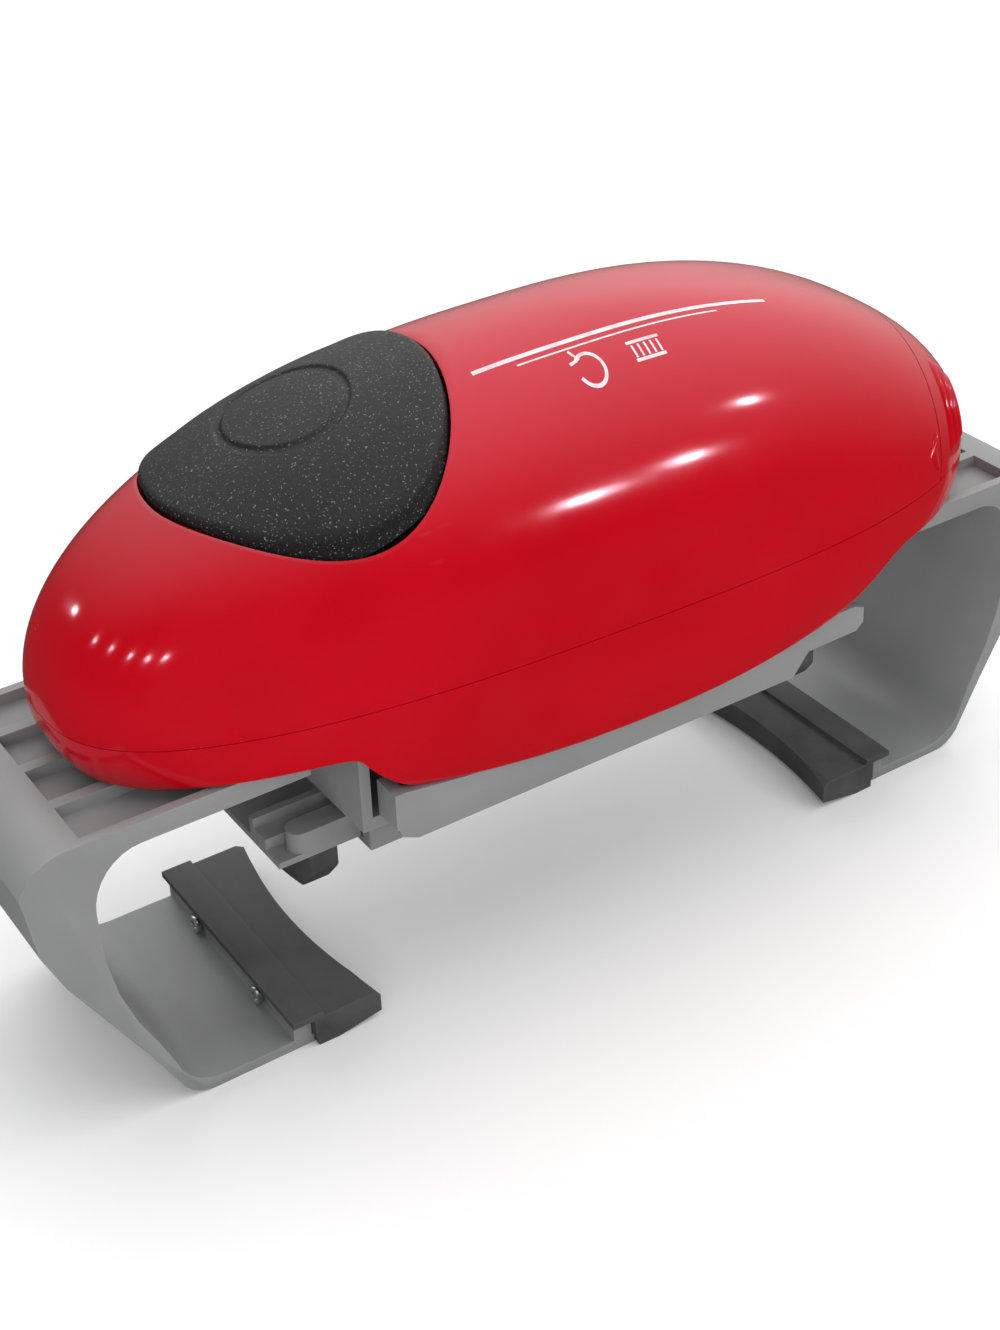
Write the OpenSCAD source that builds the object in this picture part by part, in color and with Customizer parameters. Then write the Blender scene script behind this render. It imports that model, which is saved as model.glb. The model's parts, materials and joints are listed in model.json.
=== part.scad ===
// Battery-powered automatic jar opener.
// An egg-shaped red housing holds a motor, a gear train and two AA cells.
// Two outer arms slide together and hold the jar.
// Two inner jaws on a rotor under the base hold the lid and turn it.
// X runs along the body, Y across it, Z up. Z = 0 is the plane that the arms stand on.

/* [Housing] */
// Length of the egg-shaped housing
body_len = 190; // [186:1:194]
// Width of the housing at its middle
body_w = 71; // [70:0.5:73]
// Height of the dome above the parting plane
dome_h = 46; // [45:0.5:48]
// Wall thickness of both shells
wall = 2.4; // [2:0.1:2.6]
// Fullness of the outline seen from above, where 2 is an ellipse
plan_power = 2.7; // [2.4:0.1:2.9]
// How much wider the battery end is than the button end
egg = 0.07; // [0:0.01:0.08]
// Height of the parting plane between the two shells
part_z = 68; // [68:0.1:68.4]
// Height of the shell's edge above each arm
arch_z = 59.7; // [59.6:0.1:60]
// Where the battery door meets the upper shell
door_x = 75; // [74:0.5:80]

/* [Button] */
// Radius of the round button
button_r = 25.8; // [25:0.1:26]
// Place of the button's centre along the housing
button_x = -44.5; // [-46:0.5:-44]
// Lean of the button towards the end of the housing, in degrees
button_tilt = 18; // [17:1:19]
// How far the button stands above the shell
button_proud = 1.3; // [1:0.1:1.5]

/* [Base] */
// Half of the base's width
base_y = 30.5; // [30:0.1:30.8]
// Height of the base's underside
base_z = 39; // [39:0.1:39.2]
// Wall thickness of the base
base_t = 2.4; // [2:0.1:2.4]

/* [Jar arms] */
// Half of the width of each arm
arm_y = 24.5; // [24:0.1:25]
// Underside of each arm's limb
limb_z = 55.3; // [55.3:0.1:55.4]
// Top of each arm's limb
limb_top = 59.2; // [59:0.1:59.3]
// Number of teeth of the gear between the two arm racks
arm_teeth = 24; // [24:12:24]
// Half of the length of each grip pad
pad_y = 26; // [25:0.5:27]

/* [Lid rotor] */
// Half of the length of each rotor rail
rotor_x = 48; // [46:1:48]
// Number of teeth of the gear between the two lid racks
lid_teeth = 12; // [12:12:12]
// Outer radius of the plate that rests on the lid
press_r = 12; // [11:0.5:12]

/* [Gear train] */
// Tooth module of the first three stages
small_mod = 0.6; // [0.6:0.1:0.6]
// Tooth module of the last stage
large_mod = 0.8; // [0.8:0.1:0.8]
// Teeth of each small gear
pinion_teeth = 10; // [10:1:10]
// Teeth of the first three large gears
wheel_teeth = 36; // [36:1:36]
// Teeth of the output gear
output_teeth = 40; // [40:1:40]
// Radius of the motor's can
motor_r = 11.9; // [11:0.1:12]
// Length of the motor's can
motor_len = 25; // [23:0.5:25]

/* [Battery] */
// Radius of one AA cell
cell_r = 7.25; // [7:0.05:7.25]
// Length of one AA cell
cell_len = 50.5; // [49:0.1:50.5]

/* [Hidden] */
$fn = 48;

red = [0.80, 0.03, 0.08];
light_grey = [0.62, 0.63, 0.64];
mid_grey = [0.42, 0.43, 0.44];
dark_grey = [0.17, 0.17, 0.18];
white_nylon = [0.90, 0.89, 0.84];
steel = [0.72, 0.73, 0.75];
brass = [0.78, 0.62, 0.30];
board_green = [0.10, 0.34, 0.20];

half_len = body_len / 2;
half_w = body_w / 2;
seam_end = base_z + 10.3;        // height where the base meets the shell at both ends
seam_mid = base_z + 6.6;         // and in the middle, where the shell dips
run = 0.05;                      // radial clearance of every running fit
shaft_r = 2.5;
axle_r = 1;

// ---------- egg-shaped housing ----------

function signed_pow(v, e) = sign(v) * pow(abs(v), e);

// One point of the outline, at angle t and at the two given half sizes.
function plan_point(t, a, b) =
    let (c = signed_pow(cos(t), 2 / plan_power), s = signed_pow(sin(t), 2 / plan_power))
    [a * c, b * s * (1 + egg * c)];

// Size factor of the lower shell at a depth below the parting plane.
function bowl_scale(depth, reach) = pow(1 - pow(depth / reach, 2.4), 1 / 2.4);

plan_steps = 72;
dome_steps = 11;
bowl_steps = 7;
bowl_reach_x = 28;
bowl_reach_y = 45;
bowl_depth = 23;

// Closed solid through a stack of rings, with a flat face at its first and last ring.
module ring_stack(rings) {
    n = len(rings[0]);
    m = len(rings);
    side = [for (i = [0:m - 2]) for (j = [0:n - 1])
        [i * n + j, (i + 1) * n + j, (i + 1) * n + (j + 1) % n, i * n + (j + 1) % n]];
    low = [for (j = [0:n - 1]) j];
    high = [for (j = [n - 1:-1:0]) (m - 1) * n + j];
    polyhedron([for (r = rings) for (p = r) p], concat([low, high], side), convexity = 6);
}

// Solid dome above the parting plane, grown by the given distance.
module dome(grow = 0) {
    ring_stack([for (i = [0:dome_steps]) let (u = 89 * pow(i / dome_steps, 0.85))
        [for (j = [0:plan_steps - 1])
            let (p = plan_point(360 * j / plan_steps, half_len + grow, half_w + grow))
            [p[0] * cos(u), p[1] * cos(u), part_z + (dome_h + grow) * sin(u)]]]);
}

// Solid bowl below the parting plane, grown by the given distance.
module bowl(grow = 0, depth = bowl_depth) {
    ring_stack([for (i = [bowl_steps:-1:0]) let (d = depth * i / bowl_steps)
        [for (j = [0:plan_steps - 1])
            let (p = plan_point(360 * j / plan_steps, half_len + grow, half_w + grow))
            [p[0] * bowl_scale(d, bowl_reach_x), p[1] * bowl_scale(d, bowl_reach_y),
             part_z - d]]]);
}

// Moves its children to the button's frame: origin at the height of its rim, Z outwards.
button_z = part_z + dome_h * sqrt(1 - pow(abs(button_x) / half_len, 2)) - 8.4;
module button_frame() {
    translate([button_x, 0, button_z]) rotate([0, -button_tilt, 0]) children();
}

module upper_shell() {
    well_r = button_r + 0.5;
    color(red)
    difference() {
        dome();
        dome(-wall);
        button_frame() translate([0, 0, -30]) cylinder(r = well_r, h = 60);
        translate([door_x - 0.2, -60, part_z - 5]) cube([40, 120, 80]);
    }
}

// Outline, seen from the front, of everything below the lower shell's edge.
// The left step down to the base is steep and the right one is gentle.
module below_edge() {
    arc = [for (i = [0:8]) let (s = -1 + i / 4)
        [46 * s - 0.5, seam_mid + (seam_end - seam_mid) * s * s]];
    polygon(concat([[-120, 0], [-120, arch_z], [-56, arch_z], [-52.5, arch_z - 1.2],
        [-50, seam_end + 3]], arc, [[51, seam_end + 1.8], [59.5, arch_z - 2.4],
        [64.5, arch_z - 0.4], [72, arch_z], [120, arch_z], [120, 0]]));
}

// Puts its children, drawn for the front half, on both halves of the object.
module both_halves() {
    for (turn = [0, 180])
        rotate([0, 0, turn]) children();
}

module front_half(depth) {
    rotate([90, 0, 0]) linear_extrude(depth) children();
}

boss_spots = [[-34, -24.2], [34, -24.2], [-34, 24.2], [34, 24.2]];
module lower_shell() {
    color(red) {
        difference() {
            bowl();
            bowl(-wall);
            both_halves() front_half(60) below_edge();
        }
        for (s = boss_spots)
            translate([s[0], s[1], seam_end + 0.4])
                difference() {
                    union() {
                        cylinder(r = 3, h = 4.6);
                        translate([-1, s[1] > 0 ? 0 : -7.7, 0]) cube([2, 7.7, 4.6]);
                    }
                    translate([0, 0, -1]) cylinder(r = 1.4, h = 7);
                }
    }
}

// ---------- base ----------

// Front wall of the base, seen from the front, with the stepped lobe at its right.
module base_side_outline() {
    arc = [for (i = [0:8]) let (s = 1 - i / 4)
        [46 * s - 0.5, seam_mid - 0.15 + (seam_end - seam_mid) * s * s]];
    polygon(concat([[-48, base_z + 4], [-47, base_z + 1.4], [-44, base_z], [38, base_z],
        [41.6, base_z + 4.4], [53.4, base_z + 4.6], [55, base_z + 6], [55, base_z + 9],
        [53, base_z + 10]], arc, [[-48, seam_end - 0.15]]));
}

// Tray with a wall along each side, and a wall across each end up to the arm's limb.
module base_chassis() {
    floor_outline = [[-44, -base_y + 1], [38, -base_y + 1], [43, -23], [44, base_y - 1],
        [-38, base_y - 1], [-43, 23]];
    color(light_grey)
    difference() {
        union() {
            translate([0, 0, base_z]) linear_extrude(base_t) polygon(floor_outline);
            both_halves() {
                translate([0, -base_y + base_t, 0]) front_half(base_t) base_side_outline();
                translate([-48, -base_y, base_z + 3])
                    cube([base_t, 6, seam_end - base_z - 3.15]);
                translate([44, -base_y, seam_end - 3.2]) cube([11, 9, 2.2]);
                translate([-51, -24, base_z]) cube([9, 46, base_t]);
                translate([-51, -24, base_z + 1]) cube([2, 46, limb_z - base_z - 1.6]);
            }
            for (s = boss_spots)
                translate([s[0], s[1], base_z + 1]) cylinder(r = 3.6, h = seam_end - base_z - 0.7);
        }
        translate([0, 0, base_z - 1]) cylinder(r = 4.5, h = 5);
        for (s = boss_spots)
            translate([s[0], s[1], base_z - 1]) {
                cylinder(r = 1.6, h = 14);
                cylinder(r = 3.2, h = 2.2);
            }
    }
}

module base_bush() {
    color(brass)
    difference() {
        union() {
            translate([0, 0, base_z + 0.1]) cylinder(r = 4.5, h = base_t - 0.1);
            translate([0, 0, base_z + base_t]) cylinder(r = 6.5, h = 1.2);
        }
        translate([0, 0, base_z - 1]) cylinder(r = shaft_r + run, h = 8);
    }
}

// Cross-head screw with its head down and its tip up.
module screw(head_r, head_h, shank_r, shank_h) {
    color(steel)
    difference() {
        union() {
            cylinder(r = head_r, h = head_h);
            translate([0, 0, head_h]) cylinder(r = shank_r, h = shank_h);
        }
        for (turn = [0, 90])
            rotate([0, 0, turn]) translate([-head_r * 0.6, -0.3, -0.1])
                cube([head_r * 1.2, 0.6, head_h * 0.5]);
    }
}

module housing_screws() {
    for (s = boss_spots)
        translate([s[0], s[1], base_z + 0.1]) screw(3, 1.1, 1.4, 13);
}

// ---------- gears ----------

// Spur gear outline with its first tooth on +X. The teeth are a little thin for backlash.
module gear_outline(teeth, mod) {
    r = teeth * mod / 2;
    step = 360 / teeth;
    polygon([for (i = [0:teeth - 1]) for (k = [[-0.29, -1.2], [-0.1, 0.88], [0.1, 0.88],
        [0.29, -1.2]])
        let (a = step * (i + k[0]), q = r + k[1] * mod) [q * cos(a), q * sin(a)]]);
}

// Rack along X, with teeth towards +Y at the pitch line y = 0. A gap is centred on x = 0.
module rack_outline(x0, x1, mod, back) {
    pitch = 3.14159265 * mod;
    first = ceil(x0 / pitch);
    last = floor(x1 / pitch) - 1;
    polygon(concat([[x1, -back], [x0, -back], [x0, -1.2 * mod]],
        [for (i = [first:last]) for (k = [[-0.29, -1.2], [-0.1, 0.88], [0.1, 0.88],
            [0.29, -1.2]]) [pitch * (i + 0.5 + k[0]), k[1] * mod]],
        [[x1, -1.2 * mod]]));
}

module spur(teeth, mod, z, h, turn) {
    translate([0, 0, z]) rotate([0, 0, turn]) linear_extrude(h) gear_outline(teeth, mod);
}

// Places of the gear axles, each one a mesh distance from the next, and of the motor.
small_mesh = small_mod * (pinion_teeth + wheel_teeth) / 2;
large_mesh = large_mod * (pinion_teeth + output_teeth) / 2;
mesh_angle = [150, -5, 4, -45];
function step_to(from, dist, a) = [from[0] + dist * cos(a), from[1] + dist * sin(a)];
axle_3 = step_to([0, 0], large_mesh, mesh_angle[0]);
axle_2 = step_to(axle_3, small_mesh, mesh_angle[1]);
axle_1 = step_to(axle_2, small_mesh, mesh_angle[2]);
motor_at = step_to(axle_1, small_mesh, mesh_angle[3]);

floor_z = 60.2;                  // gearbox floor plate
plate_t = 1.4;
level = [62.3, 66.3, 69.8, 73.3];    // underside of the gears on each level
gear_h = 2.5;
roof_z = 77;                     // gearbox roof plate
post_spots = [[-23, -24.5], [23, -24.5], [-23, 24.5], [23, 24.5]];

// A large gear on one level and a small one on the level below, on one axle.
// A gap of the large gear faces the gear that drives it, at angle_in. A tooth of the
// small gear faces the gear that it drives, at angle_out.
module compound(at, low, high, wheel_z, mod_low, angle_in, angle_out) {
    color(white_nylon)
    translate([at[0], at[1], 0])
        difference() {
            union() {
                spur(wheel_teeth, small_mod, wheel_z, gear_h, angle_in + 180 / wheel_teeth);
                spur(pinion_teeth, mod_low, low, wheel_z - low + 0.5, angle_out);
            }
            translate([0, 0, low - 1]) cylinder(r = axle_r + run, h = high - low + 2);
        }
}

module compound_gear_3() {
    compound(axle_3, level[0], level[1] + gear_h, level[1], large_mod, mesh_angle[1],
        mesh_angle[0] + 180);
}

module compound_gear_2() {
    compound(axle_2, level[1], level[2] + gear_h, level[2], small_mod, mesh_angle[2],
        mesh_angle[1] + 180);
}

module compound_gear_1() {
    compound(axle_1, level[2], level[3] + gear_h, level[3], small_mod, mesh_angle[3],
        mesh_angle[2] + 180);
}

module output_gear() {
    color(white_nylon)
    difference() {
        union() {
            spur(output_teeth, large_mod, level[0], 3, mesh_angle[0] + 180 / output_teeth);
            translate([0, 0, floor_z + 0.4]) cylinder(r = 5, h = 2);
        }
        translate([0, 0, 50]) cylinder(r = shaft_r + run, h = 20);
    }
}

module motor_pinion() {
    color(brass)
    translate([motor_at[0], motor_at[1], 0])
        difference() {
            spur(pinion_teeth, small_mod, level[3], gear_h + 0.6, mesh_angle[3] + 180);
            translate([0, 0, level[3] - 1]) cylinder(r = axle_r, h = 6);
        }
}

module motor_shaft() {
    color(steel)
    translate([motor_at[0], motor_at[1], level[3] - 0.3])
        cylinder(r = axle_r, h = roof_z + plate_t + 4 - level[3]);
}

module gear_axles() {
    top = roof_z + plate_t;
    color(steel) {
        translate([axle_3[0], axle_3[1], floor_z]) cylinder(r = axle_r, h = top - floor_z);
        translate([axle_2[0], axle_2[1], 66]) cylinder(r = axle_r, h = top - 66);
        translate([axle_1[0], axle_1[1], 69.5]) cylinder(r = axle_r, h = top - 69.5);
    }
}

module plate_outline() {
    polygon([[-29, -27], [29, -27], [29, 27], [-29, 27]]);
}

module gearbox_floor() {
    color(mid_grey)
    difference() {
        union() {
            translate([0, 0, floor_z]) linear_extrude(plate_t) plate_outline();
            translate([28, -17, floor_z]) cube([50, 34, plate_t]);
        }
        translate([0, 0, floor_z - 1]) cylinder(r = 5.6, h = 4);
        translate([axle_3[0], axle_3[1], floor_z - 1]) cylinder(r = axle_r, h = 4);
        for (s = post_spots)
            translate([s[0], s[1], floor_z - 1]) cylinder(r = 1.4, h = 4);
    }
}

module gearbox_roof() {
    color(mid_grey)
    difference() {
        union() {
            translate([0, 0, roof_z]) linear_extrude(plate_t) plate_outline();
            translate([-62, -12, roof_z]) cube([36, 24, plate_t]);
            translate([28, -13, roof_z]) cube([3.6, 26, plate_t]);
        }
        translate([motor_at[0], motor_at[1], roof_z - 1]) cylinder(r = 3.4, h = 4);
        for (a = [axle_1, axle_2, axle_3])
            translate([a[0], a[1], roof_z - 1]) cylinder(r = axle_r, h = 4);
        for (side = [-1, 1])
            translate([motor_at[0], motor_at[1] + 8 * side, roof_z - 1])
                cylinder(r = 1.1, h = 4);
        for (s = post_spots)
            translate([s[0], s[1], roof_z - 1]) cylinder(r = 1.4, h = 4);
    }
}

module gearbox_posts() {
    color(mid_grey)
    for (s = post_spots)
        translate([s[0], s[1], 0]) {
            translate([0, 0, base_z + base_t])
                cylinder(r = 2.6, h = floor_z - base_z - base_t);
            translate([0, 0, floor_z - 1]) cylinder(r = 1.4, h = plate_t + 3);
            translate([0, 0, floor_z + plate_t])
                difference() {
                    cylinder(r = 2.6, h = roof_z - floor_z - plate_t);
                    translate([0, 0, -1]) cylinder(r = 1.4, h = 3.2);
                    translate([0, 0, 9]) cylinder(r = 1, h = 10);
                }
        }
}

module gearbox_screws() {
    for (s = post_spots)
        translate([s[0], s[1], roof_z + plate_t + 1.3]) mirror([0, 0, 1])
            screw(2.4, 1.3, 1, 6);
}

// ---------- motor and electrics ----------

module motor_can() {
    color(steel)
    translate([motor_at[0], motor_at[1], roof_z + plate_t])
        difference() {
            union() {
                cylinder(r = motor_r, h = motor_len);
                translate([0, 0, -1]) cylinder(r = 3, h = 2);
            }
            translate([0, 0, -2]) cylinder(r = axle_r + 0.3, h = 8);
            for (side = [-1, 1])
                translate([0, 8 * side, -1]) cylinder(r = 1, h = 4);
        }
}

module motor_end_cap() {
    color(dark_grey)
    translate([motor_at[0], motor_at[1], roof_z + plate_t + motor_len]) {
        cylinder(r = motor_r - 0.6, h = 1.6);
        cylinder(r = 4, h = 3);
        for (side = [-1, 1])
            translate([-0.3, 7 * side - 1.2, 0]) cube([0.6, 2.4, 3.4]);
    }
}

module motor_screws() {
    for (side = [-1, 1])
        translate([motor_at[0], motor_at[1] + 8 * side, roof_z - 0.9])
            screw(1.9, 0.9, 1, 4.2);
}

cell_x = 34.3;
cell_y = 8;
cell_z = 75.5;
tray_z = floor_z + plate_t;
module battery_tray() {
    color(dark_grey)
    difference() {
        translate([30.9, -16.6, tray_z]) cube([48.6, 33.2, cell_z - tray_z + 1]);
        for (side = [-1, 1])
            translate([31.9, cell_y * side, cell_z]) rotate([0, 90, 0])
                cylinder(r = cell_r + 0.25, h = 60);
        translate([33.5, -14.4, tray_z - 1]) cube([44, 28.8, 5.4]);
    }
}

module battery_cell(side) {
    flip = side > 0 ? 0 : 1;
    color([0.85, 0.66, 0.20])
    translate([cell_x + flip * cell_len, cell_y * side, cell_z]) mirror([flip, 0, 0])
        rotate([0, 90, 0]) {
            cylinder(r = cell_r, h = cell_len - 1.2);
            translate([0, 0, cell_len - 1.2]) cylinder(r = 2.75, h = 1.2);
        }
}

module battery_cell_front() {
    battery_cell(-1);
}

module battery_cell_rear() {
    battery_cell(1);
}

module contact_plate() {
    color(steel)
    for (side = [-1, 1])
        translate([31.95, cell_y * side, cell_z]) {
            translate([0, -5, -5]) cube([0.5, 10, 10]);
            if (side < 0) rotate([0, 90, 0]) cylinder(r = 2.6, h = 2.3);
        }
}

// Round wire wound about the Z axis, as one swept mesh.
module coil_spring(r, wire_r, h, turns, taper = 0) {
    sides = 6;
    rings = turns * 14;
    points = [for (i = [0:rings]) let (t = i / rings, a = 360 * turns * t,
        q = r * (1 - taper * t), z = wire_r + (h - 2 * wire_r) * t)
        for (j = [0:sides - 1]) let (b = 360 * j / sides)
            [(q + wire_r * cos(b)) * cos(a), (q + wire_r * cos(b)) * sin(a),
             z + wire_r * sin(b)]];
    faces = [for (i = [0:rings - 1]) for (j = [0:sides - 1])
        [i * sides + j, i * sides + (j + 1) % sides, (i + 1) * sides + (j + 1) % sides,
         (i + 1) * sides + j]];
    first = [for (j = [sides - 1:-1:0]) j];
    last = [for (j = [0:sides - 1]) rings * sides + j];
    color(steel) polyhedron(points, concat([first, last], faces), convexity = 10);
}

module contact_spring() {
    translate([32.5, cell_y, cell_z]) rotate([0, 90, 0]) coil_spring(4, 0.3, 1.75, 2, 0.45);
}

module battery_door() {
    color(red)
    difference() {
        union() {
            difference() {
                dome();
                dome(-wall);
            }
            intersection() {
                dome(-1);
                translate([86.8, -8, 73]) cube([8, 16, 5]);
            }
        }
        translate([door_x - 200, -60, part_z - 5]) cube([200, 120, 80]);
        translate([0, -60, part_z - 5]) cube([120, 120, 5.1]);
    }
}

module door_contact() {
    color(steel) {
        translate([86.3, -12, cell_z - 3.5]) cube([0.5, 24, 7]);
        translate([84.9, cell_y, cell_z]) rotate([0, 90, 0]) cylinder(r = 2.6, h = 1.6);
    }
    translate([86.45, -cell_y, cell_z]) rotate([0, -90, 0]) coil_spring(3.4, 0.3, 1.55, 2, 0.45);
}

board_top = roof_z + plate_t + 1.6;
module circuit_board() {
    color(board_green)
    translate([-58, -11, board_top - 1.6]) cube([30, 22, 1.6]);
}

module board_parts() {
    color(dark_grey)
    translate([0, 0, board_top]) {
        translate([-52.5, -3, 0]) cube([5.5, 6, 1.8]);
        translate([-38, 5, 0]) cube([4, 3, 2.4]);
        for (side = [-1, 1])
            translate([-53.5, 7.5 * side, 0]) cylinder(r = 2.2, h = 4);
    }
}

// ---------- button and switch ----------

skirt_end = -6.6;
well_floor = -10.6;
stem_end = -13.2;
pivot = [-33.5, board_top + 5.6];    // of the switch lever
rest_angle = 8.5;
module button_well() {
    color(dark_grey)
    intersection() {
        dome(-wall - 0.05);
        button_frame()
            difference() {
                translate([0, 0, well_floor]) cylinder(r = button_r + 2.2, h = 24);
                translate([0, 0, well_floor + 1.4]) cylinder(r = button_r + 0.5, h = 30);
                translate([0, 0, well_floor - 1]) cylinder(r = 3.4, h = 4);
            }
    }
}

// Round cap whose top follows the dome, with a skirt round its edge and a stem below.
module button_cap() {
    color(dark_grey)
    union() {
        difference() {
            intersection() {
                dome(button_proud);
                button_frame() translate([0, 0, skirt_end]) cylinder(r = button_r, h = 40);
            }
            intersection() {
                dome(-1.3);
                button_frame() translate([0, 0, skirt_end - 1])
                    cylinder(r = button_r - 1.6, h = 40);
            }
        }
        button_frame() {
            translate([0, 0, -9]) cylinder(r = 3, h = 16.4);
            translate([0, 0, stem_end]) cylinder(r = 1.5, h = 6);
        }
    }
}

module button_spring() {
    button_frame() translate([0, 0, well_floor + 1.5]) coil_spring(7, 0.4, 13.4, 5);
}

module switch_body() {
    color(dark_grey)
    difference() {
        union() {
            translate([-46, -2.9, board_top]) cube([13.6, 5.8, 4.3]);
            for (side = [-1, 1])
                translate([-34.7, side * 2.45 - 0.45, board_top + 4]) cube([2.4, 0.9, 2.7]);
        }
        translate([pivot[0], 5, pivot[1]]) rotate([90, 0, 0]) cylinder(r = 0.55, h = 10);
    }
}

module switch_lever() {
    color(steel)
    translate([pivot[0], 0, pivot[1]]) {
        rotate([0, rest_angle, 0]) translate([-10, -1.9, -0.25]) cube([10, 3.8, 0.5]);
        translate([0, 2.9, 0]) rotate([90, 0, 0]) cylinder(r = 0.5, h = 5.8);
    }
}

// ---------- jar arms ----------

arm_r = arm_teeth / 2;           // pitch radius of the gear between the arm racks
rack_h = 3.5;
pocket_pitch = 11.9;

// Side profile of an arm: limb, deep shoulder, long curve down, flat tip.
module arm_profile() {
    outer_top = [for (i = [0:8]) let (a = 90 + 8.75 * i) [-102.5 + 9 * cos(a),
        limb_top - 9 + 9 * sin(a)]];
    heel = [for (i = [0:5]) let (a = 200 + 14 * i) [-83 + 7 * cos(a), 7 + 7 * sin(a)]];
    toe = [for (i = [0:5]) let (a = 270 - 16 * i) [-81 + 9 * cos(a), 11 + 9 * sin(a)]];
    elbow = [for (i = [0:8]) let (a = 180 - 11.25 * i) [-90.2 + 9 * cos(a),
        limb_z - 10 + 10 * sin(a)]];
    polygon(concat([[-60, limb_z], [-60, limb_top]], outer_top,
        [[-109.2, 41], [-105.8, 33.2], [-101.6, 26], [-94.4, 13.6]], heel,
        [[-64.2, 0], [-64.2, 1.6], [-66, 2]], toe,
        [[-92.4, 15.2], [-95.2, 21], [-97.6, 28], [-99, 36]], elbow));
}

// One arm. The slot in its limb lets the other arm's rack pass.
module arm_shape() {
    rack_z = limb_z + 0.2;
    color(light_grey)
    difference() {
        union() {
            translate([0, arm_y, 0]) front_half(2 * arm_y) arm_profile();
            translate([-68, -arm_y, 1]) cube([3.4, 2 * arm_y, 4.6]);
            translate([0, -arm_r, rack_z]) linear_extrude(rack_h)
                rack_outline(-61, 9.4, 1, 8);
        }
        for (i = [0:3])
            translate([-99.5, (i - 1.5) * pocket_pitch - 4.8, limb_z + 1.6])
                cube([24, 9.6, 10]);
        translate([-74.3, arm_r - 1.2, limb_z - 1]) cube([16, 9.6, 6]);
        for (side = [-1, 1])
            translate([-68.8, 12 * side, 3.9]) rotate([0, 90, 0])
                cylinder(r = 0.9, h = 7);
    }
}

// Grip pad on the tip of an arm, with a hollow inner edge between two prongs.
module pad_shape() {
    hollow_r = 98;
    mid_x = -54.8;
    color(dark_grey)
    difference() {
        union() {
            translate([0, pad_y, 0]) front_half(2 * pad_y)
                polygon([[-64, 0.1], [-60, 0], [-50.6, 1.6], [-50.6, 4.6], [-53, 6],
                    [-64.4, 6], [-64.4, 1.8], [-64, 1.8]]);
            translate([-68.6, -pad_y, 5.8]) cube([6, 2 * pad_y, 1.2]);
        }
        translate([mid_x + hollow_r, 0, -1]) cylinder(r = hollow_r, h = 12, $fn = 180);
        for (side = [-1, 1])
            translate([-64.5, 12 * side, 3.9]) rotate([0, 90, 0])
                cylinder(r = 0.9, h = 4);
    }
}

module pad_screw_pair() {
    for (side = [-1, 1])
        translate([-69.2, 12 * side, 3.9]) rotate([0, 90, 0]) screw(1.7, 1.1, 0.9, 6);
}

module jar_arm_left() {
    arm_shape();
}

module jar_arm_right() {
    rotate([0, 0, 180]) arm_shape();
}

module jar_pad_left() {
    pad_shape();
}

module jar_pad_right() {
    rotate([0, 0, 180]) pad_shape();
}

module pad_screws_left() {
    pad_screw_pair();
}

module pad_screws_right() {
    rotate([0, 0, 180]) pad_screw_pair();
}

module arm_guide() {
    color(white_nylon)
    difference() {
        translate([-20, -23.6, base_z + base_t]) cube([40, 5.6, floor_z - base_z - base_t]);
        translate([-21, -20.2, limb_z + 0.1]) cube([42, 4, rack_h + 0.4]);
        translate([-16, -24, base_z + base_t + 3]) cube([32, 8, 8]);
    }
}

module arm_guide_front() {
    arm_guide();
}

module arm_guide_rear() {
    rotate([0, 0, 180]) arm_guide();
}

module arm_pinion() {
    color(white_nylon)
    difference() {
        union() {
            spur(arm_teeth, 1, limb_z + 0.2, rack_h, 90);
            translate([0, 0, limb_z + 0.2 + rack_h]) cylinder(r = 5, h = 1.3);
        }
        translate([0, 0, 50]) cylinder(r = shaft_r + run, h = 20);
    }
}

// ---------- lid rotor ----------

rotor_top = 38.6;
web_z = 36.9;
lane_z = 34.4;                   // underside of both lid racks
lane_h = 2;
jaw_y = 17.2;
module rotor_carriage() {
    color(mid_grey)
    difference() {
        union() {
            translate([-13, -20.5, web_z]) cube([26, 41, rotor_top - web_z]);
            for (side = [0, 1])
                mirror([0, side, 0]) {
                    translate([-rotor_x, 17.6, 31.6])
                        cube([2 * rotor_x, 2.9, rotor_top - 31.6]);
                    translate([-rotor_x, 15.5, 31.6]) cube([2 * rotor_x, 2.2, 1.2]);
                }
        }
        translate([0, 0, 30]) cylinder(r = shaft_r, h = 12);
    }
}

module main_shaft() {
    color(steel)
    difference() {
        translate([0, 0, 28.2]) cylinder(r = shaft_r, h = 37.7);
        translate([0, 0, 28]) cylinder(r = 1.2, h = 8.4);
        translate([0, 0, 65.3])
            difference() {
                cylinder(r = 3, h = 0.5);
                cylinder(r = 2, h = 0.5);
            }
    }
}

module shaft_circlip() {
    color(steel)
    translate([0, 0, 65.35])
        difference() {
            cylinder(r = 4, h = 0.4);
            translate([0, 0, -1]) cylinder(r = 2.02, h = 3);
            translate([0, -1, -1]) cube([6, 2, 3]);
        }
}

module clutch_disc() {
    color(steel)
    translate([0, 0, limb_z - 1.2])
        difference() {
            cylinder(r = 8, h = 1.2);
            translate([0, 0, -1]) cylinder(r = shaft_r, h = 4);
        }
}

module clutch_spring() {
    translate([0, 0, 44.4]) coil_spring(5, 0.6, limb_z - 1.3 - 44.4, 5);
}

module clutch_nut() {
    color(steel)
    translate([0, 0, base_z + base_t + 1.4])
        difference() {
            cylinder(r = 6.4, h = 1.5, $fn = 6);
            translate([0, 0, -1]) cylinder(r = shaft_r, h = 4);
        }
}

module pinion_washer() {
    color(steel)
    translate([0, 0, 33.9])
        difference() {
            cylinder(r = 6.8, h = 0.4);
            translate([0, 0, -1]) cylinder(r = shaft_r, h = 3);
        }
}

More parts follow.
